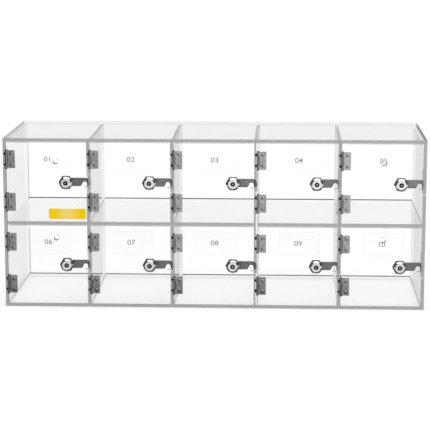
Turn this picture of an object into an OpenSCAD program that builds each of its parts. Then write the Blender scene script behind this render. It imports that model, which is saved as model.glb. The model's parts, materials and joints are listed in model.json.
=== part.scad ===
// Clear acrylic locker for ten phones: five columns and two rows of compartments in one
// cabinet, each with its own door on two butt hinges and a turning lock with a hook cam.
// The cabinet stands on z = 0 and faces -Y. x = 0 and y = 0 are the middle of its base.

/* [Cabinet] */
// Clear width of one compartment
cell_width = 114; // [104:1:150]
// Clear height of one compartment
cell_height = 114.5; // [108:0.5:150]
// Depth of the cabinet from its front edges to its back face
cabinet_depth = 200; // [160:1:260]
// Thickness of the top, base, side, shelf and divider sheets
sheet = 5; // [4.5:0.1:8]
// Thickness of the back sheet
back_sheet = 5; // [3:0.5:8]
// Gap on each side of a sheet where the shelf and a divider cross
crossing_gap = 0.1; // [0.05:0.05:0.5]

/* [Wall holes] */
// Diameter of the holes for wall screws in the back sheet
wall_hole_d = 8; // [5:0.5:12]
// Centre of a wall hole in from the cabinet's side
wall_hole_inset = 48; // [20:1:60]

/* [Doors] */
// Thickness of a door
door_sheet = 5; // [4.5:0.1:6.5]
// Gap between a door's hinged edge and its side sheet
door_hinge_gap = 2; // [1.6:0.1:3]
// Gap along a door's other three edges
door_gap = 1.2; // [0.8:0.1:2.5]

/* [Hinges] */
// Length of a hinge
hinge_length = 26; // [22:0.5:30]
// Outer diameter of a hinge knuckle
knuckle_d = 3.8; // [3.2:0.1:4.4]
// Diameter of a hinge pin
pin_d = 2; // [1.2:0.1:2.2]
// Thickness of a hinge leaf
leaf_thickness = 1; // [0.6:0.1:1.2]
// Pin's axis to the free edge of a leaf
leaf_reach = 11.9; // [10:0.1:14]
// Radius of a leaf's free corners
leaf_corner = 1.2; // [0.5:0.1:2]
// Pin's axis to the screws of a leaf
screw_reach = 6.9; // [6.2:0.1:8]
// Distance between the two screws of a leaf
screw_spacing = 15.5; // [12:0.5:18]
// Middle of the upper hinge below the top of its compartment
hinge_drop = 25; // [20:0.5:30]
// Middle of the lower hinge above the floor of its compartment
hinge_rise = 28; // [20:0.5:30]
// Diameter of a hinge screw
screw_d = 2.6; // [2:0.1:3]
// Diameter of a hinge screw's head
screw_head_d = 4.8; // [4:0.1:5.5]
// Height of the raised screw heads on the doors
screw_head_height = 1.2; // [0.8:0.1:1.6]
// Sheet left between a screw's tip and the far face
screw_tip_cover = 0.4; // [0.2:0.1:1]

/* [Locks] */
// Lock's axis to the sheet that its cam reaches into
lock_inset = 30; // [26:0.5:40]
// Lock's axis above the floor of its compartment
lock_rise = 55.5; // [50:0.5:62]
// Diameter of the lock's round front
flange_d = 18; // [17.4:0.2:24]
// Diameter of the flat ring inside the front's bevel
flange_face_d = 14.4; // [13.6:0.2:16]
// Thickness of the lock's front
flange_thickness = 2; // [1.6:0.1:4]
// Diameter of the lock's threaded barrel
barrel_d = 16; // [15.4:0.1:17]
// Distance across the two flats of the barrel
barrel_across = 14; // [13.6:0.1:15]
// Length of the barrel behind the door's front face
barrel_length = 10; // [9.6:0.1:12]
// Distance across the flats of the nut behind the door
nut_across = 18.6; // [18:0.1:22]
// Thickness of the nut
nut_thickness = 3.4; // [2.5:0.1:3.8]
// Diameter of the plug that the key turns
plug_d = 11.6; // [10:0.1:12]
// Diameter of the plug's head
plug_head_d = 12.8; // [12.4:0.1:13]
// Thickness of the plug's head
plug_head_thickness = 1.6; // [1:0.1:2]
// Outer diameter of the ring keyway
keyway_d = 6.4; // [5:0.1:8]
// Diameter of the post inside the ring keyway
keyway_post_d = 2.6; // [2:0.1:4]
// Depth of the keyway
keyway_depth = 4; // [2:0.5:6]
// Width of the square end that carries the cam
tang_width = 7; // [5:0.1:7.6]
// Diameter of the screw that holds the cam
cam_screw_d = 3.4; // [2.5:0.1:4]
// Diameter of the cam screw's head
cam_screw_head_d = 9; // [8:0.1:10]
// Height of the cam screw's head
cam_screw_head_height = 2.6; // [2:0.1:3.5]
// Depth of the cam screw in the plug
cam_screw_depth = 5; // [4:0.1:5.4]

/* [Hook cams] */
// Width of the cam
cam_width = 12; // [10:0.5:13]
// Thickness of the cam
cam_thickness = 2; // [1.5:0.1:2.4]
// Radius of the cam's round end on the lock's axis
cam_heel_radius = 7.6; // [7:0.1:8.5]
// How far the cam's nose goes into the sheet beside it
cam_entry = 4; // [1:0.1:4.3]
// Radius of the cam's outer corner above the nose
cam_corner = 6.8; // [4:0.1:6.8]
// Width of the nose above its rounded lower end
nose_width = 4.4; // [4:0.1:6]
// Radius of the outer corner at the nose's lower end
nose_round = 3; // [1:0.1:3]
// Width of the hook's throat at its mouth
throat_width = 9; // [8:0.1:11]
// Depth of the hook's throat
throat_depth = 6.8; // [4:0.1:7]

/* [Slots for the cams] */
// Width of a slot, from front to back
slot_width = 5; // [4:0.1:6]
// Height of a slot
slot_height = 36; // [34:0.5:42]
// Middle of a slot above the lock's axis
slot_lift = 3.4; // [2:0.1:5]

/* [Hidden] */
columns = 5;
rows = 2;
// Clearances: gap of turning fits, gap of seated parts, gap between hinge knuckles, gap that
// keeps the knuckles clear of the sheets, gap before and behind the cam
turn_gap = 0.06;
seat_gap = 0.04;
knuckle_gap = 0.3;
knuckle_clear = 0.2;
cam_gap = 0.1;
// Overrun of every cut
over = 1;
// How far the square end runs on inside the plug
tang_root = 1;
// Share of a hinge's length that its middle knuckle takes
middle_knuckle_share = 0.5;
// Share of a screw head's diameter that stays flat on its top
head_flat_share = 0.7;
// Share of the throat's width that its round top takes, and where the top's centre lies in it
throat_top_share = 0.72;
throat_centre_share = 0.62;
// Share of the pin's diameter that its end chamfer takes
pin_chamfer_share = 0.15;
$fn = 64;

clear_colour = [0.90, 0.94, 0.95, 0.45];
steel_colour = [0.66, 0.67, 0.68];
dark_steel_colour = [0.20, 0.20, 0.21];
chrome_colour = [0.86, 0.86, 0.87];
cam_colour = [0.44, 0.45, 0.47];

width = columns * cell_width + (columns + 1) * sheet;
height = rows * cell_height + (rows + 1) * sheet;
inner_width = width - 2 * sheet;
inner_height = height - 2 * sheet;
inner_depth = cabinet_depth - back_sheet;
front_y = -cabinet_depth / 2;
column_pitch = cell_width + sheet;
row_pitch = cell_height + sheet;

knuckle_r = knuckle_d / 2;
pin_r = pin_d / 2;
pin_x = leaf_thickness / 2;
pin_y = -(knuckle_r + knuckle_clear);
plate_start = knuckle_r + knuckle_gap;
middle_knuckle = hinge_length * middle_knuckle_share;
outer_knuckle = (hinge_length - middle_knuckle) / 2 - knuckle_gap;
hinge_heights = [hinge_rise, cell_height - hinge_drop];
screw_heights = [-screw_spacing / 2, screw_spacing / 2];

lock_x = cell_width - lock_inset;
cam_y = barrel_length + cam_gap;
cam_reach = lock_inset + cam_entry;
cam_half = cam_width / 2;
throat_right = cam_reach - nose_width;
throat_left = throat_right - throat_width;
throat_r = throat_width * throat_top_share / 2;
throat_x = throat_left + throat_width * throat_centre_share;
slot_y = cam_y + cam_thickness / 2;
slot_z = lock_rise + slot_lift;

door_numbers = [for (n = [1 : columns * rows]) n];
function door_tag(n) = str(n < 10 ? "0" : "", n);
function door_column(n) = (n - 1) % columns;
function door_row(n) = rows - 1 - floor((n - 1) / columns);
function cell_left(column) = -width / 2 + sheet + column * column_pitch;
function cell_floor(row) = sheet + row * row_pitch;

door_parts = ["door_panel_", "door_hinges_", "lock_housing_", "lock_plug_", "lock_cam_"];

// Puts its children at a compartment's front left floor corner, where x runs across the door,
// y runs backwards from the front edges and z rises from the compartment's floor
module at_cell(column, row) {
    translate([cell_left(column), front_y, cell_floor(row)]) children();
}

module in_cell_of(n) {
    at_cell(door_column(n), door_row(n)) children();
}

module at_each_cell() {
    for (n = door_numbers) in_cell_of(n) children();
}

// Puts its children at the middle of both hinges of a compartment, on the pins' axis
module at_hinges() {
    for (z = hinge_heights) translate([pin_x, pin_y, z]) children();
}

// Lays a shape drawn in x and z flat against a plane at y, its thickness towards the front
module standing(y, thickness) {
    translate([0, y + thickness, 0]) rotate([90, 0, 0]) linear_extrude(thickness) children();
}

module along_x(x, length, r) {
    translate([x, 0, 0]) rotate([0, 90, 0]) cylinder(h = length, r = r);
}

module along_y(y, length, r) {
    translate([0, y + length, 0]) rotate([90, 0, 0]) cylinder(h = length, r = r);
}

// Holes in a side sheet for the screws of the hinges on its right face
module hinge_screw_holes(column) {
    for (row = [0 : rows - 1]) at_cell(column, row) at_hinges() for (z = screw_heights)
        translate([0, screw_reach, z]) along_x(-pin_x - sheet - over, sheet + 2 * over, screw_d / 2 + seat_gap);
}

// Slots in a side sheet for the cams of the locks on its left
module cam_slots(column) {
    for (row = [0 : rows - 1]) at_cell(column, row)
        translate([cell_width - over, slot_y, slot_z]) rotate([90, 0, 90]) linear_extrude(sheet + 2 * over) {
            straight = slot_height - slot_width;
            square([slot_width, straight], center = true);
            for (end = [-1, 1]) translate([0, end * straight / 2]) circle(d = slot_width);
        }
}

module top_panel() {
    color(clear_colour) translate([-width / 2, front_y, height - sheet]) cube([width, cabinet_depth, sheet]);
}

module bottom_panel() {
    color(clear_colour) translate([-width / 2, front_y, 0]) cube([width, cabinet_depth, sheet]);
}

module left_panel() {
    color(clear_colour) difference() {
        translate([-width / 2, front_y, sheet]) cube([sheet, cabinet_depth, inner_height]);
        hinge_screw_holes(0);
    }
}

module right_panel() {
    color(clear_colour) difference() {
        translate([width / 2 - sheet, front_y, sheet]) cube([sheet, cabinet_depth, inner_height]);
        cam_slots(columns - 1);
    }
}

// The wall holes lie at mid height of the compartments in the four corners
module back_panel() {
    color(clear_colour) difference() {
        translate([-inner_width / 2, front_y + inner_depth, sheet]) cube([inner_width, back_sheet, inner_height]);
        for (side = [-1, 1]) for (row = [0, rows - 1])
            translate([side * (width / 2 - wall_hole_inset), front_y + inner_depth, cell_floor(row) + cell_height / 2])
                along_y(-over, back_sheet + 2 * over, wall_hole_d / 2);
    }
}

// The shelf is slotted from its front edge to half its depth, and each divider from its rear
// edge, so that they slide together
module middle_shelf() {
    color(clear_colour) difference() {
        translate([-inner_width / 2, front_y, cell_floor(1) - sheet]) cube([inner_width, inner_depth, sheet]);
        for (column = [1 : columns - 1])
            translate([cell_left(column) - sheet - crossing_gap, front_y - over, cell_floor(1) - sheet - over])
                cube([sheet + 2 * crossing_gap, inner_depth / 2 + over, sheet + 2 * over]);
    }
}

module divider(column) {
    difference() {
        translate([cell_left(column) - sheet, front_y, sheet]) cube([sheet, inner_depth, inner_height]);
        translate([cell_left(column) - sheet - over, front_y + inner_depth / 2, cell_floor(1) - sheet - crossing_gap])
            cube([sheet + 2 * over, inner_depth / 2 + over, sheet + 2 * crossing_gap]);
        cam_slots(column - 1);
        hinge_screw_holes(column);
    }
}

module dividers() {
    color(clear_colour) for (column = [1 : columns - 1]) divider(column);
}

// Outline of a hinge leaf from the pin's axis, x along the leaf and y along the pin
module leaf_outline() {
    flat_end = leaf_reach - leaf_corner;
    translate([plate_start, -hinge_length / 2]) square([flat_end - plate_start, hinge_length]);
    translate([plate_start, leaf_corner - hinge_length / 2])
        square([leaf_reach - plate_start, hinge_length - 2 * leaf_corner]);
    for (end = [-1, 1]) translate([flat_end, end * (hinge_length / 2 - leaf_corner)]) circle(r = leaf_corner);
}

// Leaf fixed to the side sheet, with the two outer knuckles and countersunk screw holes. It
// starts behind the door's middle knuckle
module cabinet_leaf() {
    difference() {
        union() {
            translate([-leaf_thickness / 2, 0, 0]) rotate([90, 0, 90]) linear_extrude(leaf_thickness) leaf_outline();
            for (end = [-1, 1]) translate([0, 0, end * (hinge_length - outer_knuckle) / 2])
                linear_extrude(outer_knuckle, center = true) {
                    circle(r = knuckle_r);
                    translate([-leaf_thickness / 2, 0]) square([leaf_thickness, plate_start]);
                }
        }
        cylinder(h = hinge_length + 2 * over, r = pin_r + seat_gap, center = true);
        for (z = screw_heights) translate([0, screw_reach, z]) {
            along_x(-leaf_thickness / 2 - over, leaf_thickness + 2 * over, screw_d / 2 + seat_gap);
            translate([-leaf_thickness / 2, 0, 0]) rotate([0, 90, 0])
                cylinder(h = leaf_thickness, r1 = screw_d / 2 + seat_gap, r2 = screw_head_d / 2 + seat_gap);
        }
    }
}

module cabinet_hinge_leaves() {
    color(dark_steel_colour) at_each_cell() at_hinges() cabinet_leaf();
}

module pin() {
    chamfer = pin_d * pin_chamfer_share;
    half = hinge_length / 2;
    rotate_extrude() polygon([[0, -half], [pin_r - chamfer, -half], [pin_r, chamfer - half],
        [pin_r, half - chamfer], [pin_r - chamfer, half], [0, half]]);
}

module hinge_pins() {
    color(steel_colour) at_each_cell() at_hinges() pin();
}

// Countersunk screw through the cabinet's leaf, its tip just short of the sheet's far face
module cabinet_screw() {
    length = sheet - screw_tip_cover;
    translate([-leaf_thickness / 2, 0, 0]) {
        along_x(-length, length, screw_d / 2);
        rotate([0, 90, 0]) cylinder(h = leaf_thickness, r1 = screw_d / 2, r2 = screw_head_d / 2);
    }
}

module cabinet_hinge_screws() {
    color(dark_steel_colour) at_each_cell() at_hinges() for (z = screw_heights)
        translate([0, screw_reach, z]) cabinet_screw();
}

module lock_hole_outline(gap) {
    intersection() {
        circle(d = barrel_d + 2 * gap);
        square([barrel_d + 2 * gap, barrel_across + 2 * gap], center = true);
    }
}

// The door has a hole with two flats that stops the lock from turning, and blind screw holes
module door_panel(n) {
    color(clear_colour) in_cell_of(n) difference() {
        translate([door_hinge_gap, 0, door_gap])
            cube([cell_width - door_hinge_gap - door_gap, door_sheet, cell_height - 2 * door_gap]);
        translate([lock_x, 0, lock_rise]) standing(-over, door_sheet + 2 * over) lock_hole_outline(seat_gap);
        for (z = hinge_heights) for (dz = screw_heights) translate([pin_x + screw_reach, 0, z + dz])
            along_y(-over, door_sheet - screw_tip_cover + over, screw_d / 2 + seat_gap);
    }
}

// Leaf on the door's front face, with the middle knuckle
module door_leaf() {
    back = -pin_y;
    difference() {
        union() {
            standing(back - leaf_thickness, leaf_thickness) leaf_outline();
            linear_extrude(middle_knuckle, center = true) {
                circle(r = knuckle_r);
                translate([0, back - leaf_thickness]) square([plate_start, leaf_thickness]);
            }
        }
        cylinder(h = hinge_length, r = pin_r + turn_gap, center = true);
        for (z = screw_heights) translate([screw_reach, 0, z])
            along_y(back - leaf_thickness - over, leaf_thickness + 2 * over, screw_d / 2 + seat_gap);
    }
}

// Screw with a raised head, its tip just short of the door's rear face
module door_screw() {
    length = leaf_thickness + door_sheet - 2 * screw_tip_cover;
    rim = screw_head_height / 2;
    translate([0, -leaf_thickness - seat_gap, 0]) rotate([90, 0, 0]) rotate_extrude() polygon([[0, -length],
        [screw_d / 2, -length], [screw_d / 2, 0], [screw_head_d / 2, 0], [screw_head_d / 2, rim],
        [screw_head_d * head_flat_share / 2, screw_head_height], [0, screw_head_height]]);
}

module door_hinges(n) {
    color(steel_colour) in_cell_of(n) {
        at_hinges() door_leaf();
        for (z = hinge_heights) for (dz = screw_heights)
            translate([pin_x + screw_reach, 0, z + dz]) door_screw();
    }
}

// Fixed part of a lock: a bevelled round front, a barrel with two flats and the nut behind
// the door
module lock_housing(n) {
    bevel = (flange_d - flange_face_d) / 2;
    color(chrome_colour) in_cell_of(n) translate([lock_x, 0, lock_rise]) {
        difference() {
            union() {
                rotate([90, 0, 0]) rotate_extrude() polygon([[0, 0], [flange_d / 2, 0],
                    [flange_d / 2, flange_thickness - bevel / 2], [flange_face_d / 2, flange_thickness],
                    [0, flange_thickness]]);
                standing(0, barrel_length) lock_hole_outline(0);
            }
            along_y(-flange_thickness - over, flange_thickness + barrel_length + 2 * over, plug_d / 2 + turn_gap);
            along_y(-flange_thickness - over, plug_head_thickness + over + turn_gap, plug_head_d / 2 + turn_gap);
        }
        difference() {
            standing(door_sheet, nut_thickness) circle(d = nut_across / cos(30), $fn = 6);
            standing(door_sheet - over, nut_thickness + 2 * over) lock_hole_outline(seat_gap);
        }
    }
}

// Turning part of a lock: the plug with its ring keyway and square end, and the cam's screw
module lock_plug(n) {
    end = cam_y + cam_thickness;
    color(chrome_colour) in_cell_of(n) translate([lock_x, 0, lock_rise]) {
        difference() {
            union() {
                along_y(-flange_thickness, plug_head_thickness, plug_head_d / 2);
                along_y(-flange_thickness, flange_thickness + barrel_length, plug_d / 2);
                standing(barrel_length - tang_root, tang_root + cam_gap + cam_thickness - seat_gap)
                    square(tang_width, center = true);
            }
            standing(-flange_thickness - over, keyway_depth + over) difference() {
                circle(d = keyway_d);
                circle(d = keyway_post_d);
            }
            along_y(end - cam_screw_depth, cam_screw_depth + over, cam_screw_d / 2 + seat_gap);
        }
        along_y(end - cam_screw_depth + seat_gap, cam_screw_depth, cam_screw_d / 2);
        along_y(end, cam_screw_head_height, cam_screw_head_d / 2);
    }
}

// Outline of a cam that points to the right: a bar with a round heel, a round outer corner
// and a throat cut from below that leaves the hook's nose, round outside at its lower end
module cam_outline() {
    corner_x = cam_reach - cam_corner;
    difference() {
        union() {
            circle(r = cam_heel_radius);
            translate([0, -cam_half]) square([corner_x, cam_width]);
            translate([0, -cam_half]) square([cam_reach - nose_round, cam_width - cam_corner]);
            translate([0, nose_round - cam_half])
                square([cam_reach, cam_width - cam_corner - nose_round]);
            translate([corner_x, cam_half - cam_corner]) circle(r = cam_corner);
            translate([cam_reach - nose_round, nose_round - cam_half]) circle(r = nose_round);
        }
        translate([throat_x, throat_depth - cam_half - throat_r]) circle(r = throat_r);
        polygon([[throat_left, -cam_half], [throat_x - throat_r, throat_depth - cam_half - throat_r],
            [throat_x + throat_r, throat_depth - cam_half - throat_r], [throat_right, -cam_half],
            [throat_right, -cam_half - over], [throat_left, -cam_half - over]]);
        square(tang_width + 2 * seat_gap, center = true);
    }
}

module lock_cam(n) {
    color(cam_colour) in_cell_of(n) translate([lock_x, 0, lock_rise])
        standing(cam_y, cam_thickness) cam_outline();
}

top_panel();
bottom_panel();
left_panel();
right_panel();
back_panel();
middle_shelf();
dividers();
cabinet_hinge_leaves();
hinge_pins();
cabinet_hinge_screws();
for (n = door_numbers) {
    door_panel(n);
    door_hinges(n);
    lock_housing(n);
    lock_plug(n);
    lock_cam(n);
}
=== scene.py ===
import json
from math import atan2, cos, pi, radians

import bmesh
import bpy
from mathutils import Matrix, Vector


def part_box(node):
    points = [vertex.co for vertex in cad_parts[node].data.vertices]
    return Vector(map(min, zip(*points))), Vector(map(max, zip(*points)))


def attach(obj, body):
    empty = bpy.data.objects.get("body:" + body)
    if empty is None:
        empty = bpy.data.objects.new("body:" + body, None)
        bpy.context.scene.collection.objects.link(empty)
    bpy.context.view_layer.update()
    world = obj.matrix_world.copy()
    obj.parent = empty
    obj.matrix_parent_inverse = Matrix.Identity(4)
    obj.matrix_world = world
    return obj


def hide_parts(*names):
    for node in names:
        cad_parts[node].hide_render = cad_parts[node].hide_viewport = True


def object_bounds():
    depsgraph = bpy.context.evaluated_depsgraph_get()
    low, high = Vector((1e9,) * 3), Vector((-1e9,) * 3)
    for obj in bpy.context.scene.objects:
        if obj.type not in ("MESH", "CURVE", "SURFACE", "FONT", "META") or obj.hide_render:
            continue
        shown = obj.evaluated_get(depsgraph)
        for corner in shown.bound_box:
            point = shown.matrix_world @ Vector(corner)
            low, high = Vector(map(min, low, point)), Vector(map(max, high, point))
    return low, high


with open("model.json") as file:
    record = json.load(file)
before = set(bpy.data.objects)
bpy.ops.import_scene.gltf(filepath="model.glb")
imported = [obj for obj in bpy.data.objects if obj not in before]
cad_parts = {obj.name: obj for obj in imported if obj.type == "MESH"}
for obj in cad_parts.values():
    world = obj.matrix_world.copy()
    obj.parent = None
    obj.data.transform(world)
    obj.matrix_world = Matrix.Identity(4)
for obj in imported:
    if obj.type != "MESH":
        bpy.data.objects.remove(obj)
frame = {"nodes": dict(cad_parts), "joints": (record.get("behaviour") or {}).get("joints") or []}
nodes = frame["nodes"]
joints = {joint["name"]: joint for joint in frame["joints"]}
cadBounds = [list(corner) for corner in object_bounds()]
scene = bpy.context.scene
scene.view_settings.view_transform = "Standard"
clearBounces = 64  # a look along the row passes many clear sheets
scene.cycles.transparent_max_bounces = clearBounces
millimetre = 0.001
mergeDistance = 0.0005  # in millimetres, for points that coincide
tolerance = 0.01  # in millimetres, for telling faces and points by their place
doorTags = ["%02d" % number for number in range(1, 11)]
sides = (-1, 1)
print("frame loaded:", len(nodes), "nodes")


def hingePlace(tag):
    return joints["door_%s_hinge" % tag]["pos_m"]


def lockPlace(tag):
    return joints["lock_%s_turn" % tag]["pos_m"]


pitchAcross = hingePlace("02")[0] - hingePlace("01")[0]
pitchUp = hingePlace("01")[2] - hingePlace("06")[2]


def cellCorner(tag):
    # the lower left front corner of a compartment, in millimetres
    return (hingePlace(tag)[0] / millimetre - hingeSettings["pin"][0], lockPlace(tag)[1] / millimetre,
            lockPlace(tag)[2] / millimetre - lockSettings["height"])


def linked(name, data):
    made = bpy.data.objects.new(name, data)
    scene.collection.objects.link(made)
    return made


# ---- camera
cameraSettings = {
    "place": (0.0991, -2.4322, 0.5657),
    "turn": (79.558, 0.0, 2.391),
    "lens": 139.84,
    "sensor": 36.0,
    "reach": 60,
}


def makeCamera():
    data = bpy.data.cameras.new("camera")
    data.lens = cameraSettings["lens"]
    data.sensor_width = cameraSettings["sensor"]
    data.clip_end = cameraSettings["reach"]
    camera = linked("camera", data)
    camera.location = cameraSettings["place"]
    camera.rotation_euler = [radians(angle) for angle in cameraSettings["turn"]]
    scene.camera = camera


makeCamera()


# ---- shader maths
def shade(red, green=None, blue=None):
    # a colour as it should show on screen, from 0 to 255, turned into Blender's own
    levels = [value / 255 for value in (red, red if green is None else green, red if blue is None else blue)]
    linear = [v / 12.92 if v <= 0.04045 else ((v + 0.055) / 1.055) ** 2.4 for v in levels]
    return (*linear, 1.0)


class Wire:
    # a socket inside a finish, so that sums read as plain expressions
    def __init__(self, finish, socket):
        self.finish = finish
        self.socket = socket

    def math(self, operation, *values):
        return self.finish.node("ShaderNodeMath", {"operation": operation}, dict(enumerate((self, *values))))

    def __add__(self, other):
        return self.math("ADD", other)

    def __sub__(self, other):
        return self.math("SUBTRACT", other)

    def __rsub__(self, other):
        return self.finish.node("ShaderNodeMath", {"operation": "SUBTRACT"}, {0: other, 1: self})

    def __mul__(self, other):
        return self.math("MULTIPLY", other)

    def __pow__(self, other):
        return self.math("POWER", other)

    def __gt__(self, other):
        return self.math("GREATER_THAN", other)

    def __lt__(self, other):
        return self.math("LESS_THAN", other)

    def __abs__(self):
        return self.math("ABSOLUTE")

    __radd__ = __add__
    __rmul__ = __mul__


class Finish:
    def __init__(self, name, **sockets):
        self.material = bpy.data.materials.new(name)
        self.material.use_nodes = True
        self.tree = self.material.node_tree
        self.shader = next(node for node in self.tree.nodes if node.type == "BSDF_PRINCIPLED")
        for socket, value in sockets.items():
            self.set(socket.replace("_", " "), value)

    def feed(self, socket, value):
        if isinstance(value, Wire):
            self.tree.links.new(value.socket, socket)
        else:
            socket.default_value = value

    def set(self, socket, value):
        self.feed(self.shader.inputs[socket], value)

    def node(self, kind, settings=None, values=None, out=0):
        made = self.tree.nodes.new(kind)
        for name, value in (settings or {}).items():
            setattr(made, name, value)
        for name, value in (values or {}).items():
            self.feed(made.inputs[name], value)
        return Wire(self, made.outputs[out])

    def place(self):
        return self.node("ShaderNodeTexCoord", out="Object")

    def split(self, vector):
        parts = self.node("ShaderNodeSeparateXYZ", values={0: vector}).socket.node
        return [Wire(self, output) for output in parts.outputs]

    def noise(self, scale, detail=2.0, stretch=(1, 1, 1)):
        where = self.node("ShaderNodeMapping", values={"Vector": self.place(), "Scale": stretch})
        return self.node("ShaderNodeTexNoise", values={"Vector": where, "Scale": scale, "Detail": detail})

    def blend(self, factor, first, second):
        values = {"Factor": factor, 6: first, 7: second}
        return self.node("ShaderNodeMix", {"data_type": "RGBA"}, values, out=2)

    def bump(self, height, strength, distance):
        relief = self.node("ShaderNodeBump", values={
            "Strength": strength, "Distance": distance * millimetre, "Height": height})
        self.set("Normal", relief)


# ---- clear acrylic: near clear on its faces, grey on its cut edges
topEdgeHeight = 0.23  # above it only the top edges of upright sheets are level cuts
frontEdgeDepth = cadBounds[0][1] + 0.008  # just behind the sheets' front cut edges
acrylicSettings = {
    "faceOpacity": 0.012,  # looked at square on
    "grazingOpacity": 0.32,  # added where it is looked at along the sheet
    "grazingPower": 7.0,
    "gloss": 0.1,
    "edgeTone": 172,
    "levelTone": 132,  # of cut edges that face up or down
    "faceTone": 168,
    "roughness": 0.06,
    "edgeRoughness": 0.3,
    "frontInside": 0.45,  # added to the front cut edges seen through the sheet, from behind
    "straightFrom": 0.99,  # share of a face's normal along an axis from which it counts as straight
    "cloud": {"grain": 60, "darker": 4, "lighter": 5},
    "marks": {"grain": 900, "along": 0.1, "strength": 0.15, "depth": 0.1},
}
# thickness direction of a sheet, opacity of its cut edges by the way they face (x, y, z), seen from
# outside and through the sheet, opacity and tone of curved cuts seen either way, share of the usual
# opacity and tone of its faces, the way its top edge differs
sheetSettings = {
    "top_panel": {"thin": 2, "edges": (0.9, 0.92, 0.9), "inside": (0.6, 0.2, 0.1), "veil": 0.9,
                  "tone": 130, "gloss": 0.0, "rightInside": 0.35},
    "bottom_panel": {"thin": 2, "edges": (0.9, 0.92, 0.9), "inside": (0.06, 0.05, 0.1), "veil": 0.7},
    "middle_shelf": {"thin": 2, "edges": (0.3, 0.92, 0.3), "inside": (0.1, 0.05, 0.1), "veil": 1.05},
    "left_panel": {"thin": 0, "edges": (0.9, 0.92, 0.25), "curved": (0.05, 0.05), "hinged": True,
                   "gloss": 0.0, "line": (1.0, 116)},
    "right_panel": {"thin": 0, "edges": (0.9, 0.92, 0.5), "curved": (0.6, 0.2), "slots": True, "low": 0.6,
                    "gloss": 0.0, "topFrom": 297.6},
    "dividers": {"thin": 0, "edges": (0.9, 0.92, 0.44), "curved": (0.1, 0.1), "slots": True, "hinged": True,
                 "low": 0.1, "gloss": 0.0},
    "back_panel": {"thin": 1, "edges": (0.3, 0.9, 0.3), "curved": (1.0, 0.65), "cutTone": 20, "tone": 248},
}
doorSettings = {"thin": 1, "edges": (0.12, 0.9, 0.7), "curved": (0.25, 0.1), "tone": 248}


def byFacing(straight, values):
    return straight[0] * values[0] + straight[1] * values[1] + straight[2] * values[2]


def acrylicFinish(name, thin, edges, inside=(0.05, 0.05, 0.03), curved=(0.9, 0.15), cutTone=None, veil=1.0,
                  tone=None, low=None, slots=False, hinged=False, gloss=None, line=None, topFrom=None,
                  rightInside=None):
    look = acrylicSettings
    finish = Finish(name, Specular_IOR_Level=look["gloss"] if gloss is None else gloss)
    where = finish.split(finish.place())
    size = [abs(part) for part in finish.split(finish.node("ShaderNodeTexCoord", out="Normal"))]
    onEdge = size[thin] < 0.5
    within = finish.node("ShaderNodeNewGeometry", out="Backfacing")
    facing = finish.node("ShaderNodeLayerWeight", values={"Blend": 0.5}, out="Facing")
    grazing = facing ** look["grazingPower"] * (look["grazingOpacity"] * veil)
    faceOpacity = grazing + look["faceOpacity"] * veil
    straight = [part > look["straightFrom"] for part in size]
    turned = (1 - straight[0] - straight[1] - straight[2]).math("MAXIMUM", 0.0)
    outer = byFacing(straight, edges)
    if low is not None:
        # level cuts below the top edge, such as the ends of slots, are clearer
        outer = outer - straight[2] * (where[2] < topEdgeHeight) * (edges[2] - low)
    if topFrom:
        # of the top edge only the outer part is grey
        atTop = straight[2] * (where[2] > topEdgeHeight)
        outer = outer - atTop * (where[0] < topFrom * millimetre) * edges[2]
    outer = outer + turned * curved[0]
    inner = byFacing(straight, inside) + turned * curved[1]
    inner = inner + straight[1] * (where[1] < frontEdgeDepth) * look["frontInside"]
    if rightInside:
        inner = inner + straight[0] * (where[0] > 0.0) * rightInside
    edgeOpacity = within * (inner - outer) + outer
    if slots:
        edgeOpacity = edgeOpacity * (1 - slotWeb(where))
    if hinged:
        edgeOpacity = edgeOpacity * (1 - clearBand(where))
        spots = screwSpots(where)
        edgeOpacity = spots * (1 - edgeOpacity) + edgeOpacity
    finish.set("Alpha", onEdge * (edgeOpacity - faceOpacity) + faceOpacity)
    cloud, edgeTone = look["cloud"], look["edgeTone"]
    edgeColour = finish.blend(finish.noise(cloud["grain"], detail=3.0), shade(edgeTone - cloud["darker"]),
                              shade(edgeTone + cloud["lighter"]))
    if thin != 2:
        edgeColour = finish.blend(straight[2], edgeColour, shade(look["levelTone"]))
    if line:
        # a dark line down the front edge beside the doors
        width, lineTone = line
        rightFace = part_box(name.removesuffix("_acrylic"))[1][0]
        beside = where[0] > (rightFace - width * millimetre)
        edgeColour = finish.blend(straight[1] * beside, edgeColour, shade(lineTone))
    if hinged:
        edgeColour = finish.blend(spots, edgeColour, shade(spotSettings["tone"]))
    if cutTone:
        edgeColour = finish.blend(turned, edgeColour, shade(cutTone))
    faceColour = shade(tone or look["faceTone"])
    finish.set("Base Color", finish.blend(onEdge, faceColour, edgeColour))
    finish.set("Roughness", onEdge * (look["edgeRoughness"] - look["roughness"]) + look["roughness"])
    # saw marks along the edges
    marks, along = look["marks"], look["marks"]["along"]
    stretch = (1, along, along) if thin == 0 else (along, 1, 1)
    relief = finish.noise(marks["grain"], detail=1.0, stretch=stretch)
    finish.bump(relief * onEdge, marks["strength"], marks["depth"])
    return finish.material


webSettings = {
    "raise": 3.4,  # of the slot's middle above the lock's axis
    "height": 36.0,
    "clear": 0.1,
    "leftUpTo": 100.0,  # the left half is clearer on the sheets left of this place
    "half": 2.9,
    "halfClear": 0.35,
    "noseClear": 0.5,
    "noseHeight": 13.0,
    "end": 0.9,
    "clearEnd": 0.6,
    # the walls in the slot are made clearer, painted light that lifts the shade inside the slot
    "wall": 0.35,
    "wallDepth": 30.0,
}


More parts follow.
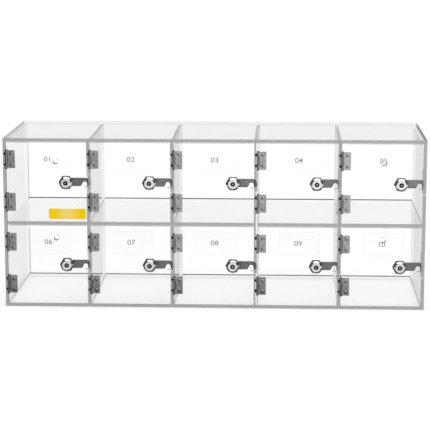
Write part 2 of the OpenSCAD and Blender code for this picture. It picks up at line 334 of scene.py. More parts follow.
def slotWeb(where):
    # how clear the front edge is over a cam's slot, where only a thin web stands before the cam's nose,
    # and how much clearer the walls in the slot are made: painted light that lifts the shade inside the slot
    size = webSettings
    front = where[1] < frontEdgeDepth
    away = None
    for tag in ("01", "06"):
        middle = lockPlace(tag)[2] + size["raise"] * millimetre
        off = abs(where[2] - middle)
        away = off if away is None else away.math("MINIMUM", off)
    half = size["height"] / 2 * millimetre
    inSlot = away < half
    atEnd = inSlot * (away > (half - size["end"] * millimetre))
    across = (where[0] - cadBounds[0][0]).math("WRAP", pitchAcross, 0.0)
    left = (where[0] < size["leftUpTo"] * millimetre) * (across < size["half"] * millimetre)
    nose = away < size["noseHeight"] / 2 * millimetre
    clear = left * (nose * size["noseClear"] + size["halfClear"]) + size["clear"]
    clear = atEnd * (size["clearEnd"] - clear) + clear
    # the slot's walls made clearer: painted light over the shade inside the slot
    inside = (1 - front) * (where[1] < (frontEdgeDepth + size["wallDepth"] * millimetre)) * size["wall"]
    return inSlot * (front * clear + inside)


spotSettings = {"radius": 1.9, "inward": 2.0, "rise": -0.1, "tone": 6}
bandSettings = {"from": 59.5, "to": 62.5, "clear": 0.85}


def screwSpots(where):
    # round dark spots on the front edge, where the screws of the hinges show through it
    size = spotSettings
    spread = hingeSettings["screwSpacing"] / 2
    lower, upper = hingeSettings["heights"]
    firstX, _, firstZ = cellCorner("06")
    across = where[0] - (firstX - size["inward"]) * millimetre
    across = across.math("WRAP", pitchAcross / 2, -pitchAcross / 2)
    up = (where[2] - (firstZ + size["rise"]) * millimetre).math("WRAP", pitchUp, 0.0)
    up = abs(up - (lower + upper) / 2 * millimetre)
    up = abs(up - (upper - lower) / 2 * millimetre) - spread * millimetre
    inSpot = (across * across + up * up) < (size["radius"] * millimetre) ** 2
    return (where[1] < frontEdgeDepth) * inSpot


def clearBand(where):
    # the right half of the third divider's front edge is made clearer
    inBand = (where[0] > bandSettings["from"] * millimetre) * (where[0] < bandSettings["to"] * millimetre)
    return (where[1] < frontEdgeDepth) * inBand * bandSettings["clear"]


# ---- metals, inks and labels
fineDepth = 0.02  # of the grain in metals and inks, in millimetres
wearSettings = {"grain": 35, "cloudShare": 0.6, "wearShare": 0.4, "rougher": 0.12}


def roughnessAbout(finish, pattern, middle, spread):
    finish.set("Roughness", pattern * spread + (middle - spread / 2))


def metalFinish(name, tone, spread, roughness, grain=400, stretch=(1, 1, 1), strength=0.2, contrast=1.0):
    finish = Finish(name, Metallic=1.0)
    cloud = finish.noise(grain, detail=4.0, stretch=stretch)
    wear = finish.noise(wearSettings["grain"], detail=3.0)
    light, dark = shade(*[t + spread for t in tone]), shade(*[t - spread for t in tone])
    mottle = cloud * wearSettings["cloudShare"] + wear * wearSettings["wearShare"]
    mottle = mottle * contrast + (0.5 - 0.5 * contrast)
    finish.set("Base Color", finish.blend(mottle, dark, light))
    roughnessAbout(finish, wear, roughness, wearSettings["rougher"])
    finish.bump(cloud, strength, fineDepth)
    return finish.material


# the knuckle tone is the door knuckles' painted shade, and the leaf's dark tone is painted shade between door
# and sheet
cabinetLeafSettings = {"knuckle": 126, "leaf": 42, "spread": 8, "knuckleDepth": -100.3, "roughness": 0.3,
                       "rougher": 0.1, "grain": 900, "upright": 0.15, "strength": 0.2}


def cabinetLeafFinish(name):
    # plated like the knuckles in front, with their painted shade; the leaf between door and sheet is painted
    # dark as shade
    look = cabinetLeafSettings
    finish = Finish(name, Metallic=1.0)
    cloud = finish.noise(look["grain"], detail=4.0, stretch=(1, 1, look["upright"]))
    inLeafShade = finish.split(finish.place())[1] > look["knuckleDepth"] * millimetre
    spread = look["spread"]
    tones = [finish.blend(cloud, shade(tone - spread), shade(tone + spread))
             for tone in (look["knuckle"], look["leaf"])]
    finish.set("Base Color", finish.blend(inLeafShade, *tones))
    roughnessAbout(finish, cloud, look["roughness"], look["rougher"])
    finish.bump(cloud, look["strength"], fineDepth)
    return finish.material


def darker(colour, share):
    return tuple(part * (1 - share) for part in colour[:3]) + (1.0,)


plainSettings = {"grain": 600, "darker": 0.06, "rougher": 0.1, "strength": 0.1}


def plainFinish(name, colour, roughness):
    look = plainSettings
    finish = Finish(name)
    cloud = finish.noise(look["grain"], detail=3.0)
    finish.set("Base Color", finish.blend(cloud, darker(colour, look["darker"]), colour))
    roughnessAbout(finish, cloud, roughness, look["rougher"])
    finish.bump(cloud, look["strength"], fineDepth)
    return finish.material


filmSettings = {"grain": 120, "darker": 0.04, "denser": 0.02, "roughness": 0.25}


def filmFinish(name, colour, opacity):
    look = filmSettings
    finish = Finish(name, Roughness=look["roughness"])
    cloud = finish.noise(look["grain"])
    finish.set("Base Color", finish.blend(cloud, darker(colour, look["darker"]), colour))
    finish.set("Alpha", cloud * look["denser"] + (opacity - look["denser"] / 2))
    return finish.material


paleMiddleSettings = {"middle": -0.2090, "reach": 0.017, "yellow": (255, 216, 0), "pale": (255, 224, 120),
                "streaks": 0.35, "streakGrain": 420, "upright": 0.08, "roughness": 0.5, "gloss": 0.15,
                "grain": 700, "strength": 0.1}


def yellowFinish(name):
    # printed yellow, paler in upright streaks about its middle
    look = paleMiddleSettings
    finish = Finish(name, Roughness=look["roughness"], Specular_IOR_Level=look["gloss"])
    away = abs(finish.split(finish.place())[0] - look["middle"]) * (1 / look["reach"])
    paleShare = (1 - away).math("MAXIMUM", 0.0)
    streaks = finish.noise(look["streakGrain"], detail=3.0, stretch=(1, 1, look["upright"]))
    paleShare = (paleShare * (streaks * look["streaks"] + 1.0)).math("MINIMUM", 1.0)
    colours = [shade(*look[key]) for key in ("yellow", "pale")]
    finish.set("Base Color", finish.blend(paleShare, *colours))
    finish.bump(finish.noise(look["grain"]), look["strength"], fineDepth)
    return finish.material


rimSettings = {
    "inner": 3.4,
    "outer": 4.7,
    "thickness": 0.12,
    "across": 252.0,
    "heights": (62.25, 181.75),
    "depth": 95.0,
    "towards": (0.35, -0.93),
    "start": 0.15,
    "steep": 2.2,
    "densest": 0.96,
    "tone": 12,
    "lighter": 14,
    "grain": 500,
    "roughness": 0.4,
    "gloss": 0.2,
}


def rimFinish(name):
    # dark where a drilled hole's wall is seen, at the lower outer side, and clear at the other
    look = rimSettings
    finish = Finish(name, Roughness=look["roughness"], Specular_IOR_Level=look["gloss"])
    where = finish.split(finish.place())
    outer = look["outer"] * millimetre
    sideways, upwards = [share / outer for share in look["towards"]]
    across = (abs(where[0]) - look["across"] * millimetre) * sideways
    low, high = look["heights"]
    middle = (low + high) / 2 * millimetre
    up = abs(where[2] - middle) - (high - low) / 2 * millimetre
    up = up * ((where[2] > middle) * 2 - 1) * upwards
    alpha = (across + up - look["start"]) * look["steep"]
    finish.set("Alpha", alpha.math("MAXIMUM", 0.0).math("MINIMUM", look["densest"]))
    colours = [shade(look["tone"]), shade(look["tone"] + look["lighter"])]
    finish.set("Base Color", finish.blend(finish.noise(look["grain"]), *colours))
    return finish.material


finishes = {
    "leaf": metalFinish("plated_leaf", (146,), 24, 0.4, grain=450, stretch=(1, 1, 0.7), contrast=3.0),
    # the knuckles are brushed but painted darker than the leaves: painted shade on the rounded barrel
    "knuckle": metalFinish("plated_knuckle_painted_shade", (126,), 8, 0.3, grain=900, stretch=(1, 1, 0.15)),
    "cabinetLeaf": cabinetLeafFinish("plated_cabinet_leaf_painted_shade"),
    "pin": metalFinish("pin_steel", (120,), 8, 0.25),
    "pinCap": metalFinish("pin_cap_steel", (70,), 8, 0.35),
    "headSteel": metalFinish("screw_head_steel", (160,), 10, 0.25),
    "recess": metalFinish("screw_recess", (60,), 6, 0.5),
    "blackScrew": metalFinish("black_screw", (16,), 4, 0.45),
    "chrome": metalFinish("bright_chrome", (202, 202, 203), 6, 0.12, strength=0.05),
    "bezel": metalFinish("bezel_chrome", (214,), 6, 0.16, strength=0.05),
    # the keyway's wall and floor are painted near black: painted shade inside the ring keyway
    "keyway": metalFinish("keyway_wall_painted_shade", (24,), 4, 0.5),
    "shadedKeywayFloor": metalFinish("keyway_floor_painted_shade", (10,), 3, 0.6),
    "post": metalFinish("keyway_post", (170,), 6, 0.2),
    "nut": metalFinish("zinc_nut", (104, 106, 106), 10, 0.38),
    "barrel": metalFinish("zinc_barrel", (150, 151, 151), 10, 0.3),
    "cam": metalFinish("zinc_cam", (102, 105, 105), 14, 0.4, grain=500, stretch=(0.25, 1, 1), contrast=3.0),
    "ink": plainFinish("number_ink", shade(146), 0.6),
    "film": filmFinish("label_film", shade(250), 0.04),
    "outline": filmFinish("label_outline", shade(150), 0.3),
    "yellow": yellowFinish("yellow_label"),
    "shelfBond": plainFinish("bond_line_dark", shade(58), 0.4),
    "baseBond": plainFinish("bond_line_pale", shade(96), 0.4),
    "cornerBond": plainFinish("bond_line_corner", shade(150), 0.4),
    "holeRim": rimFinish("drilled_hole_rim"),
}


# ---- shapes, in millimetres, with +z towards the front where a piece turns about an axis
toFront = Matrix.Rotation(radians(90), 4, "X")
cornerSegments = 4
bevelSettings = {"profile": 0.5, "affect": "EDGES", "material": -1}


def meshData(name, mesh):
    data = bpy.data.meshes.new(name)
    mesh.to_mesh(data)
    mesh.free()
    return data


def spun(profile, steps=32):
    # a closed profile of (radius, height) turned round the z axis
    mesh = bmesh.new()
    points = [mesh.verts.new((radius, 0, height)) for radius, height in profile]
    edges = [mesh.edges.new((points[i - 1], points[i])) for i in range(1, len(points))]
    if profile[0][0] > 0:
        edges.append(mesh.edges.new((points[-1], points[0])))
    bmesh.ops.spin(mesh, geom=points + edges, cent=(0, 0, 0), axis=(0, 0, 1), angle=2 * pi,
                   steps=steps, use_merge=True)
    bmesh.ops.remove_doubles(mesh, verts=mesh.verts, dist=mergeDistance)
    bmesh.ops.recalc_face_normals(mesh, faces=mesh.faces)
    return mesh


def block(low, high, corners=0.0, edges=0.0, pick=lambda middle: True):
    # a plate between two corner points, rounded at the picked corners that run from front to back
    mesh = bmesh.new()
    size = Vector(high) - Vector(low)
    middle = (Vector(high) + Vector(low)) / 2
    bmesh.ops.create_cube(mesh, size=1.0, matrix=Matrix.Translation(middle) @ Matrix.Diagonal((*size, 1.0)))
    if corners:
        through = [edge for edge in mesh.edges if abs(edge.verts[0].co.y - edge.verts[1].co.y) > size.y / 2
                   and pick((edge.verts[0].co + edge.verts[1].co) / 2)]
        bmesh.ops.bevel(mesh, geom=through, offset=corners, segments=cornerSegments, **bevelSettings)
    if edges:
        bmesh.ops.bevel(mesh, geom=list(mesh.edges), offset=edges, segments=1, **bevelSettings)
    return mesh


def drawnOut(mesh, faces, along):
    # pushes faces out along a vector and gives the points of their new place
    made = bmesh.ops.extrude_face_region(mesh, geom=faces)["geom"]
    ends = [item for item in made if isinstance(item, bmesh.types.BMVert)]
    bmesh.ops.translate(mesh, vec=along, verts=ends)
    return ends


def moved(mesh, matrix):
    bmesh.ops.transform(mesh, matrix=matrix, verts=mesh.verts)
    return mesh


def painted(mesh, number):
    for face in mesh.faces:
        face.material_index = number
    return mesh


def joined(*meshes):
    whole = bmesh.new()
    for mesh in meshes:
        part = meshData("part", mesh)
        whole.from_mesh(part)
        bpy.data.meshes.remove(part)
    return whole


def piece(name, mesh, body, materials, replaces=(), smooth=True):
    # turns a shape in millimetres, already in place, into a piece that rides on a body
    bmesh.ops.scale(mesh, vec=(millimetre,) * 3, verts=mesh.verts)
    data = meshData(name, mesh)
    for finish in materials:
        data.materials.append(finishes[finish])
    if smooth:
        data.shade_smooth()
        data.set_sharp_from_angle(angle=radians(35))
    made = linked(name, data)
    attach(made, body)
    if replaces:
        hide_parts(*replaces)


def copyOf(mesh, matrix):
    twin = mesh.copy()
    return moved(twin, matrix)


# ---- screws
recessSettings = {"width": 0.32, "reach": 0.7, "taper": 0.8}


def pressCross(mesh, radius, top, depth, number):
    # cuts a cross into the flat top of a screw head
    size = recessSettings
    half, reach = radius * size["width"] / 2, radius * size["reach"]
    for axis in (Vector((1, 0, 0)), Vector((0, 1, 0))):
        for offset in (-reach, -half, half, reach):
            everything = list(mesh.verts) + list(mesh.edges) + list(mesh.faces)
            bmesh.ops.bisect_plane(mesh, geom=everything, plane_co=axis * offset, plane_no=axis)
    arms = []
    for face in mesh.faces:
        middle = face.calc_center_median()
        x, y = abs(middle.x), abs(middle.y)
        if abs(middle.z - top) < tolerance and min(x, y) < half and max(x, y) < reach:
            arms.append(face)
    floor = drawnOut(mesh, arms, (0, 0, -depth))
    bmesh.ops.delete(mesh, geom=arms, context="FACES")
    bmesh.ops.scale(mesh, vec=(size["taper"], size["taper"], 1), verts=floor)
    bmesh.ops.recalc_face_normals(mesh, faces=mesh.faces)
    for face in {face for vertex in floor for face in vertex.link_faces}:
        face.material_index = number
    return mesh


threadShares = (0.15, 0.35, 0.85)  # of the pitch, where the crest starts and stops and the root lies


def threaded(start, stop, root, crest, pitch):
    # points of a thread's profile from one height down to another
    points = []
    height = start
    while height - pitch > stop:
        drops = [pitch * share for share in threadShares]
        points += [(crest, height - drops[0]), (crest, height - drops[1]), (root, height - drops[2])]
        height -= pitch
    return points


def domed(radius, top, flat, domeShares):
    # points of a raised head's profile from its middle to its underside
    return [(0, top), (flat, top)] + [(radius * out, top * up) for out, up in domeShares] + [(radius, 0)]


# ---- hinges
hingeSettings = {
    "heights": (28.0, 89.5),  # middles above the compartment's floor
    "pin": (0.5, -2.1),
    "length": 26.0,
    "middleKnuckle": 13.0,
    "knuckleRadius": 1.9,
    "bore": 1.06,
    "leaf": (2.2, 11.9),
    "thickness": 1.0,
    "leafBack": 2.1,
    "corner": 1.2,
    "screwReach": 6.9,
    "screwSpacing": 15.5,
    "edge": 0.12,
    "overlap": 0.2,
}


def hingeScrewPlaces():
    spread = hingeSettings["screwSpacing"] / 2
    return [height + side * spread for height in hingeSettings["heights"] for side in sides]


def doorLeaves():
    size = hingeSettings
    half, knuckle = size["length"] / 2, size["middleKnuckle"] / 2
    back, front = size["leafBack"], size["leafBack"] - size["thickness"]
    radius, edge = size["knuckleRadius"], size["edge"]
    start, reach = size["leaf"]
    plate = block((start, front, -half), (reach, back, half), corners=size["corner"], edges=edge,
                  pick=lambda middle: middle.x > (start + reach) / 2)
    neck = block((0, front, -knuckle), (start + size["overlap"], back, knuckle))
    tube = spun([(size["bore"], -knuckle), (radius - edge, -knuckle), (radius, edge - knuckle),
                 (radius, knuckle - edge), (radius - edge, knuckle), (size["bore"], knuckle)], steps=24)
    # the neck and knuckle take the knuckle finish, painted darker than the leaf as shade
    leaf = joined(plate, painted(joined(neck, tube), 1))
    return joined(*[copyOf(leaf, Matrix.Translation((*size["pin"], height))) for height in size["heights"]])


pinCapSettings = {"radius": 1.5, "height": 0.9, "edge": 0.3}


def pinCaps():
    # the pins' ends, upset over the outer knuckles
    size = pinCapSettings
    radius, height, edge = size["radius"], size["height"], size["edge"]
    cap = spun([(0, height), (radius - edge, height), (radius, height - edge), (radius, 0), (0, 0)], steps=16)
    half = hingeSettings["length"] / 2
    flipped = copyOf(cap, Matrix.Rotation(pi, 4, "X"))
    above, below = Matrix.Translation((0, 0, half)), Matrix.Translation((0, 0, -half))
    pair = joined(moved(cap, above), moved(flipped, below))
    return joined(*[copyOf(pair, Matrix.Translation((*hingeSettings["pin"], height)))
                    for height in hingeSettings["heights"]])


doorScrewSettings = {
    "head": 2.4,
    "height": 1.2,
    "flat": 1.5,
    "domeShares": ((0.84, 0.86), (0.96, 0.6), (1.0, 0.3)),
    "shank": 1.3,
    "root": 1.0,
    "length": 5.2,
    "pitch": 0.8,
    "plain": 1.0,
    "tip": 0.4,
    "recess": 0.8,
    "gap": 0.04,
}


def shank(size):
    # points of a screw's profile from under its head down to its tip
    shoulder = size["tip"] - size["length"]
    thread = threaded(-size["plain"], shoulder, size["root"], size["shank"], size["pitch"])
    return [(size["shank"], 0)] + thread + [(size["root"], shoulder), (0, -size["length"])]


def doorScrews():
    size = doorScrewSettings
    head, top = size["head"], size["height"]
    screw = spun(domed(head, top, size["flat"], size["domeShares"]) + shank(size), steps=16)
    pressCross(screw, head, top, size["recess"], 1)
    seat = hingeSettings["pin"][1] + hingeSettings["leafBack"] - hingeSettings["thickness"] - size["gap"]
    across = hingeSettings["pin"][0] + hingeSettings["screwReach"]
    return joined(*[copyOf(screw, Matrix.Translation((across, seat, height)) @ toFront)
                    for height in hingeScrewPlaces()])


sideScrewSettings = {
    "head": 2.4,
    "height": 1.0,
    "edge": 0.1,
    "shank": 1.8,
    "root": 1.6,
    "length": 4.6,
    "pitch": 0.8,
    "plain": 0.2,
    "tip": 0.4,
    "recess": 0.7,
}


def sideScrews():
    size = sideScrewSettings
    head, top, edge = size["head"], size["height"], size["edge"]
    screw = spun([(0, top), (head - edge, top), (head, top - edge)] + shank(size), steps=16)
    pressCross(screw, head, top, size["recess"], 1)
    depth = hingeSettings["pin"][1] + hingeSettings["screwReach"]
    toRight = Matrix.Rotation(radians(90), 4, "Y")
    return joined(*[copyOf(screw, Matrix.Translation((0, depth, height)) @ toRight)
                    for height in hingeScrewPlaces()])


# ---- locks
lockSettings = {
    "face": 6.75,
    "bevelDrop": 1.6,
    "rim": 9.0,
    "thickness": 2.0,
    "plugHead": 6.4,
    "headSeat": 0.4,
    "plug": 5.8,
    "bore": 5.9,
    "barrel": 8.0,
    "barrelRoot": 7.5,
    "barrelLength": 10.0,
    "barrelPitch": 1.0,
    "flats": 7.0,
    "nut": (9.3, -5.0, -8.4),
    "nutHole": 8.1,
    "nutChamfer": 0.5,
    "ring": (4.7, 4.95, 0.12),
    "keyway": (1.1, 3.3, 4.0),
    "tang": (3.5, -12.06),
    "washer": (4.5, 0.7),
    "washerEdge": 0.15,
    "screwHead": (3.5, 1.9),
    "screwFlatShare": 0.62,
    "screwDomeShares": ((0.86, 0.86), (0.97, 0.6), (1.0, 0.3)),
    "screwRecess": 1.1,
    "camDepth": 2.1,  # from the barrel's end to the cam's rear
    "across": 84.0,  # of the axis, from the compartment's left wall
    "height": 55.5,
    "gap": 0.06,
    "sink": 0.04,
    "edge": 0.1,
    "faceEdge": (0.08, 0.03),
    "rimEdge": (0.2, 0.18),
    "backEdge": 0.12,
    "barrelTop": 0.02,
    "threadInset": 0.4,
    "barrelEdge": (0.2, 0.3),
    "nutEdge": 0.05,
    "tangEdge": 0.15,
    "overlap": 0.2,
    "steps": 48,
}


def lockFront():
    size = lockSettings
    top, rim, face, bore, gap = [size[key] for key in ("thickness", "rim", "face", "bore", "gap")]
    seat, hole, bevel = size["headSeat"] - size["sink"], size["plugHead"] + gap, top - size["bevelDrop"]
    back, (faceOut, faceDrop), (rimIn, rimDrop) = size["backEdge"], size["faceEdge"], size["rimEdge"]
    flange = spun([
        (hole, seat), (hole, top - gap), (hole + gap, top), (face, top), (face + faceOut, top - faceDrop),
        (rim - rimIn, bevel), (rim, bevel - rimDrop), (rim, back), (rim - back, 0), (bore, 0), (bore, seat),
    ], steps=size["steps"])
    for part in flange.faces:
        middle = part.calc_center_median()
        if middle.xy.length > face:
            part.material_index = 1
    end, start, inset = -size["barrelLength"], -size["barrelTop"], size["threadInset"]
    root, outside, (edgeIn, edgeUp) = size["barrelRoot"], size["barrel"], size["barrelEdge"]
    thread = threaded(-inset, end + inset, root, outside, size["barrelPitch"])
    barrel = spun([(bore, start), (outside, start)] + thread
                  + [(root, end + edgeUp), (root - edgeIn, end), (bore, end)], steps=size["steps"])
    for side in sides:
        everything = list(barrel.verts) + list(barrel.edges) + list(barrel.faces)
        bmesh.ops.bisect_plane(barrel, geom=everything, plane_co=(0, side * size["flats"], 0),
                               plane_no=(0, side, 0), clear_outer=True)
        bmesh.ops.holes_fill(barrel, edges=list(barrel.edges), sides=0)
    return joined(flange, painted(barrel, 2))


def nut():
    # turned round first, then its sides are drawn out to a hexagon with flats above and below
    size = lockSettings
    across, front, back = size["nut"]
    chamfer, hole, inner = size["nutChamfer"], size["nutHole"], across - size["nutEdge"]
    mesh = spun([(hole, front), (inner, front), (across, front - chamfer), (across, back + chamfer),
                 (inner, back), (hole, back)], steps=24)
    for vertex in mesh.verts:
        if vertex.co.xy.length > across - tolerance:
            turn = atan2(vertex.co.y, vertex.co.x) % (pi / 3) - pi / 6
            vertex.co.xy *= 1 / cos(turn)
    return mesh


def plugTurned():
    # the plug's head with its ring groove and ring keyway, and its body
    size = lockSettings
    top, head, seat, edge = [size[key] for key in ("thickness", "plugHead", "headSeat", "edge")]
    post, slot, depth = size["keyway"][0], size["keyway"][1], top - size["keyway"][2]
    inner, outer, groove = size["ring"]
    body, end = size["plug"], -size["barrelLength"]
    turned = spun([
        (0, top), (post - edge, top), (post, top - edge), (post, depth), (slot, depth), (slot, top - edge),
        (slot + edge, top), (inner, top), (inner, top - groove), (outer, top - groove), (outer, top),
        (head - edge, top), (head, top - edge), (head, seat), (body, seat), (body, end), (0, end),
    ], steps=size["steps"])
    # the keyway's walls and floor take the finishes painted dark as the keyway's shade
    for face in turned.faces:
        middle = face.calc_center_median()
        reach = middle.xy.length
        if reach < post:
            face.material_index = 2
        elif reach < slot + tolerance and middle.z < depth + tolerance:
            face.material_index = 5
        elif reach < slot + tolerance and middle.z < top - edge - tolerance:
            face.material_index = 1
    return turned


def camScrew():
    # a washer and a raised head, with +z away from the cam
    size = lockSettings
    (radius, washer), edge = size["washer"], size["washerEdge"]
    headRadius, headHeight = size["screwHead"]
    disc = spun([(0, washer), (radius - edge, washer), (radius, washer - edge), (radius, edge),
                 (radius - edge, 0), (0, 0)], steps=32)
    flat = headRadius * size["screwFlatShare"]
    cap = spun(domed(headRadius, headHeight, flat, size["screwDomeShares"]) + [(0, 0)], steps=24)
    pressCross(cap, headRadius, headHeight, size["screwRecess"], 4)
    for face in cap.faces:
        face.material_index = face.material_index or 3
    return joined(painted(disc, 3), moved(cap, Matrix.Translation((0, 0, washer))))


def plug():
    size = lockSettings
    end, (tang, tangEnd) = -size["barrelLength"], size["tang"]
    square = block((-tang, -tang, tangEnd), (tang, tang, end + size["overlap"]), edges=size["tangEdge"])
    behindCam = Matrix.Translation((0, 0, end - size["camDepth"]))
    screw = moved(camScrew(), behindCam @ Matrix.Rotation(pi, 4, "X"))
    return joined(plugTurned(), square, screw)


# ---- labels
labelSettings = {
    "middle": (60.0, 89.2),
    "size": (57.2, 34.0),
    "thickness": 0.15,
    "corner": 1.5,
    "outline": 0.4,
    "numberMiddle": (58.1, 90.0),
    "numberHeight": 7.4,
    "numberRelief": 0.06,
    "numberStroke": 0.004,  # how much bolder than the plain letters
    "numberWiden": 1.12,
    "numberSegments": 3,
}


def labelFilm():
    size = labelSettings
    (x, z), (wide, high) = size["middle"], size["size"]
    film = block((x - wide / 2, -size["thickness"], z - high / 2), (x + wide / 2, 0, z + high / 2),
                 corners=size["corner"])
    front = min(film.faces, key=lambda face: face.calc_center_median().y)
    for face in bmesh.ops.inset_region(film, faces=[front], thickness=size["outline"])["faces"]:
        face.material_index = 1
    return film


def doorNumber(text):
    curve = bpy.data.curves.new("number", "FONT")
    curve.body = text
    curve.align_x = "CENTER"
    curve.resolution_u = labelSettings["numberSegments"]
    curve.offset = labelSettings["numberStroke"]
    writing = linked("number", curve)
    bpy.context.view_layer.update()
    flat = bpy.data.meshes.new_from_object(writing.evaluated_get(bpy.context.evaluated_depsgraph_get()))
    bpy.data.objects.remove(writing)
    mesh = bmesh.new()
    mesh.from_mesh(flat)
    bpy.data.meshes.remove(flat)
    bmesh.ops.remove_doubles(mesh, verts=mesh.verts, dist=mergeDistance)
    low = Vector([min(v.co[axis] for v in mesh.verts) for axis in range(3)])
    high = Vector([max(v.co[axis] for v in mesh.verts) for axis in range(3)])
    scale = labelSettings["numberHeight"] / (high.y - low.y)
    wide = Matrix.Diagonal((labelSettings["numberWiden"], 1, 1, 1))
    moved(mesh, wide @ Matrix.Scale(scale, 4) @ Matrix.Translation(-(low + high) / 2))
    drawnOut(mesh, list(mesh.faces), (0, 0, labelSettings["numberRelief"]))
    bmesh.ops.recalc_face_normals(mesh, faces=mesh.faces)
    x, z = labelSettings["numberMiddle"]
    return moved(mesh, Matrix.Translation((x, -labelSettings["thickness"], z)) @ toFront)


yellowSettings = {"low": (59.6, 3.5), "high": (112.5, 18.5), "thickness": 0.2, "corner": 0.5}


def yellowLabel():
    size = yellowSettings
    (left, low), (right, high) = size["low"], size["high"]
    return block((left, -size["thickness"], low), (right, 0, high), corners=size["corner"])


# ---- cement along the joints
bondSettings = {
    "leg": 1.3,
    "floorLeg": 0.7,
    "cornerLeg": 0.8,
    "hollowShares": (0.4, 0.12),
    "wide": 114.0,
    "high": 86.0,
    "lowHigh": 72.0,
    "depth": 195.0,
    "cornerShift": 1.5,
}


def bondLine(length, leg):
    # a hollow fillet along x, laid as between a floor and the back sheet
    mesh = bmesh.new()
    far, near = [leg * share for share in bondSettings["hollowShares"]]
    corners = [(0, 0), (-leg, 0), (-far, near), (-near, far), (0, leg)]
    face = mesh.faces.new([mesh.verts.new((0, y, z)) for y, z in corners])
    drawnOut(mesh, [face], (length, 0, 0))
    bmesh.ops.recalc_face_normals(mesh, faces=mesh.faces)
    return mesh


def bondLines():
    # the lines of one compartment, by the corner that they run along
    size = bondSettings
    toRear = Matrix.Translation((0, size["depth"], 0))
    mirrored = Matrix.Translation((size["wide"], 0, 0)) @ Matrix.Scale(-1, 4, (1, 0, 0))
    toCorner = Matrix.Translation((size["cornerShift"], size["depth"], 0))
    upright = toCorner @ Matrix.Rotation(radians(-90), 4, "Y")
    lines = {
        "rear": moved(bondLine(size["wide"], size["leg"]), toRear),
        "floor": moved(bondLine(size["depth"], size["floorLeg"]), Matrix.Rotation(radians(90), 4, "Z")),
        "corner": moved(bondLine(size["high"], size["cornerLeg"]), upright),
        "lowCorner": moved(bondLine(size["lowHigh"], size["cornerLeg"]), upright),
    }
    lines["rightFloor"] = copyOf(lines["floor"], mirrored)
    bmesh.ops.reverse_faces(lines["rightFloor"], faces=lines["rightFloor"].faces)
    return lines


def dressFrame():
    for name, settings in sheetSettings.items():
        nodes[name].material_slots[0].material = acrylicFinish(name + "_acrylic", **settings)
    door = acrylicFinish("door_acrylic", **doorSettings)
    for tag in doorTags:
        nodes["door_panel_" + tag].material_slots[0].material = door
        nodes["lock_cam_" + tag].material_slots[0].material = finishes["cam"]
    nodes["cabinet_hinge_leaves"].material_slots[0].material = finishes["cabinetLeaf"]
    nodes["hinge_pins"].material_slots[0].material = finishes["pin"]


dressFrame()
print("sheets, cams, leaves and pins have their finishes")


# ---- every compartment gets its pieces
def cellPlace(tag):
    return Matrix.Translation(cellCorner(tag))


def inEveryCell(mesh):
    return joined(*[copyOf(mesh, cellPlace(tag)) for tag in doorTags])


toLock = Matrix.Translation((lockSettings["across"], 0, lockSettings["height"])) @ toFront
patterns = {
    "leaves": doorLeaves(),
    "screws": doorScrews(),
    "front": moved(lockFront(), toLock),
    "nut": moved(nut(), toLock),
    "plug": moved(plug(), toLock),
    "film": labelFilm(),
}
print("patterns:", {name: len(mesh.faces) for name, mesh in patterns.items()})

for tag in doorTags:
    place, door, lock = cellPlace(tag), "door_" + tag, "lock_" + tag
    piece("door_leaves_" + tag, copyOf(patterns["leaves"], place), door, ["leaf", "knuckle"],
          replaces=["door_hinges_" + tag])
    piece("door_screws_" + tag, copyOf(patterns["screws"], place), door, ["headSteel", "recess"])
    piece("lock_front_" + tag, copyOf(patterns["front"], place), door, ["chrome", "bezel", "barrel"],
          replaces=["lock_housing_" + tag])
    piece("lock_nut_" + tag, copyOf(patterns["nut"], place), door, ["nut"])
    piece("lock_cylinder_" + tag, copyOf(patterns["plug"], place), lock,
          ["chrome", "keyway", "post", "nut", "recess", "shadedKeywayFloor"],
          replaces=["lock_plug_" + tag])
    piece("label_film_" + tag, copyOf(patterns["film"], place), door, ["film", "outline"], smooth=False)
    piece("door_number_" + tag, moved(doorNumber(tag), place), door, ["ink"], smooth=False)
piece("yellow_label", moved(yellowLabel(), cellPlace("01")), "door_01", ["yellow"], smooth=False)

piece("pin_caps", inEveryCell(pinCaps()), "cabinet", ["pinCap"])
piece("side_screws", inEveryCell(sideScrews()), "cabinet", ["blackScrew", "recess"],
      replaces=["cabinet_hinge_screws"])


def holeRims():
    size = rimSettings
    inner, outer, thickness = size["inner"], size["outer"], size["thickness"]
    ring = spun([(inner, thickness), (outer, thickness), (outer, 0), (inner, 0)], steps=48)
    places = [(side * size["across"], size["depth"], height) for side in sides for height in size["heights"]]
    return joined(*[copyOf(ring, Matrix.Translation(place) @ toFront) for place in places])


piece("hole_rims", holeRims(), "cabinet", ["holeRim"])

floorTags = [("floor", tag) for tag in doorTags[1:]] + [("rightFloor", tag) for tag in ("05", "10")]
bonds = {
    "shelf_bond": ([("rear", tag) for tag in doorTags[:5]], "shelfBond"),
    "base_bond": ([("rear", tag) for tag in doorTags[5:]], "baseBond"),
    "floor_bond": (floorTags, "cornerBond"),
    "corner_bond": ([("corner", "01"), ("lowCorner", "06")], "cornerBond"),
}
bondPatterns = bondLines()
for name, (lines, finish) in bonds.items():
    bond = joined(*[copyOf(bondPatterns[line], cellPlace(tag)) for line, tag in lines])
    piece(name, bond, "cabinet", [finish])
print("hinges, locks, labels and numbers in place")


# ---- stage and light
seenBy = ("Is Camera Ray", "Is Glossy Ray", "Is Transmission Ray")
stageSettings = {
    "floorSize": 40.0,
    "floorTone": 0.86,
    "floorDrop": 0.0004,
    "roughness": 0.9,
    "lift": (0.36, 0.64),
    "liftReach": (0.5, 2.5),
    "world": 0.5,
}
lampSettings = {
    "overhead": {"place": (0.0, -0.5, 1.9), "aim": (0, 0, 0.1), "size": (2.4, 1.6), "power": 14},
    "front": {"place": (1.0, -2.5, 0.75), "aim": (0, 0, 0.12), "size": (1.4, 1.0), "power": 16},
}
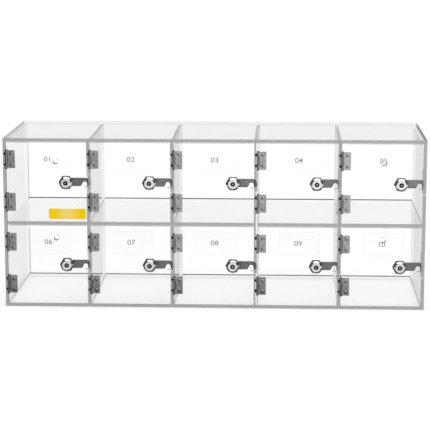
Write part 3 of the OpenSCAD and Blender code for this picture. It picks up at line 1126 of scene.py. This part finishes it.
# dark cards at both sides, which only the metal's reflections show, with darker bands between two heights
cardSettings = {
    "left": {"across": -1.4, "near": -4.2, "far": 1.5, "high": 2.45, "band": (1.72, 2.43)},
    "right": {"across": 2.2, "near": -2.6, "far": 1.5, "high": 2.2, "band": (0.8, 1.7)},
}
cardFoot = 0.01
cardTones = {"plain": 0.09, "band": 0.008}
# cards lying on the desk, as left, right, near and far edge
deskCardSettings = {
    "desk": (-2.2, 2.2, -0.2, -0.1002),
    "left_desk": (-1.4, -0.4, -2.4, -0.2),
}
deskCardHeight, deskCardTone = 0.002, 0.09


def makeStage():
    mesh = bmesh.new()
    bmesh.ops.create_circle(mesh, cap_ends=True, segments=64, radius=stageSettings["floorSize"] / 2)
    data = meshData("floor", mesh)
    floor = linked("floor", data)
    floor.location.z = -stageSettings["floorDrop"]
    tone = stageSettings["floorTone"]
    finish = Finish("floor_paint", Base_Color=(tone, tone, tone, 1), Roughness=stageSettings["roughness"])
    finish.set("Emission Color", (1, 1, 1, 1))
    rays = finish.node("ShaderNodeLightPath").socket.node
    camera, glossy, transmission = [Wire(finish, rays.outputs[name]) for name in seenBy]
    seen = camera + glossy + transmission
    away = finish.node("ShaderNodeVectorMath", {"operation": "LENGTH"}, {0: finish.place()}, out=1)
    (near, far), (start, stop) = stageSettings["lift"], stageSettings["liftReach"]
    lift = finish.node("ShaderNodeMapRange", values={
        "Value": away, "From Min": start, "From Max": stop, "To Min": near, "To Max": far})
    finish.set("Emission Strength", seen.math("MINIMUM", 1.0) * lift)
    data.materials.append(finish.material)


def makeCard(name, corners, paint):
    mesh = bmesh.new()
    mesh.faces.new([mesh.verts.new(corner) for corner in corners])
    data = meshData(name, mesh)
    card = linked(name, data)
    for kind in ("camera", "diffuse", "transmission", "volume_scatter", "shadow"):
        setattr(card, "visible_" + kind, False)
    finish = Finish(name + "_paint", Roughness=1.0, Specular_IOR_Level=0.0)
    finish.set("Base Color", paint(finish))
    data.materials.append(finish.material)


def makeCards():
    tones = (cardTones["plain"], cardTones["band"], deskCardTone)
    plain, band, desk = [(tone, tone, tone, 1) for tone in tones]
    for name, settings in cardSettings.items():
        across, near, far, high = [settings[key] for key in ("across", "near", "far", "high")]
        low, top = settings["band"]

        def paint(finish):
            height = finish.split(finish.place())[2]
            return finish.blend((height > low) * (height < top), plain, band)

        places = ((near, cardFoot), (far, cardFoot), (far, high), (near, high))
        makeCard(name + "_card", [(across, depth, height) for depth, height in places], paint)
    for name, (left, right, near, far) in deskCardSettings.items():
        places = ((left, near), (right, near), (right, far), (left, far))
        makeCard(name + "_card", [(x, y, deskCardHeight) for x, y in places], lambda finish: desk)


def makeWorld():
    world = bpy.data.worlds.new("studio")
    world.use_nodes = True
    scene.world = world
    tree = world.node_tree
    background = next(node for node in tree.nodes if node.type == "BACKGROUND")
    background.inputs["Color"].default_value = (1, 1, 1, 1)
    path = tree.nodes.new("ShaderNodeLightPath")
    seen = path.outputs[seenBy[0]]
    for name in seenBy[1:]:
        either = tree.nodes.new("ShaderNodeMath")
        either.operation = "MAXIMUM"
        tree.links.new(seen, either.inputs[0])
        tree.links.new(path.outputs[name], either.inputs[1])
        seen = either.outputs[0]
    level = tree.nodes.new("ShaderNodeMapRange")
    level.inputs["To Min"].default_value = stageSettings["world"]
    level.inputs["To Max"].default_value = 1.0
    tree.links.new(seen, level.inputs["Value"])
    tree.links.new(level.outputs["Result"], background.inputs["Strength"])


def makeLamps():
    for name, settings in lampSettings.items():
        data = bpy.data.lights.new(name, "AREA")
        data.shape = "RECTANGLE"
        data.size, data.size_y = settings["size"]
        data.energy = settings["power"]
        lamp = linked(name, data)
        lamp.location = settings["place"]
        aim = Vector(settings["aim"]) - Vector(settings["place"])
        lamp.rotation_euler = aim.to_track_quat("-Z", "Y").to_euler()


makeStage()
makeCards()
makeWorld()
makeLamps()
print("stage and lamps ready")
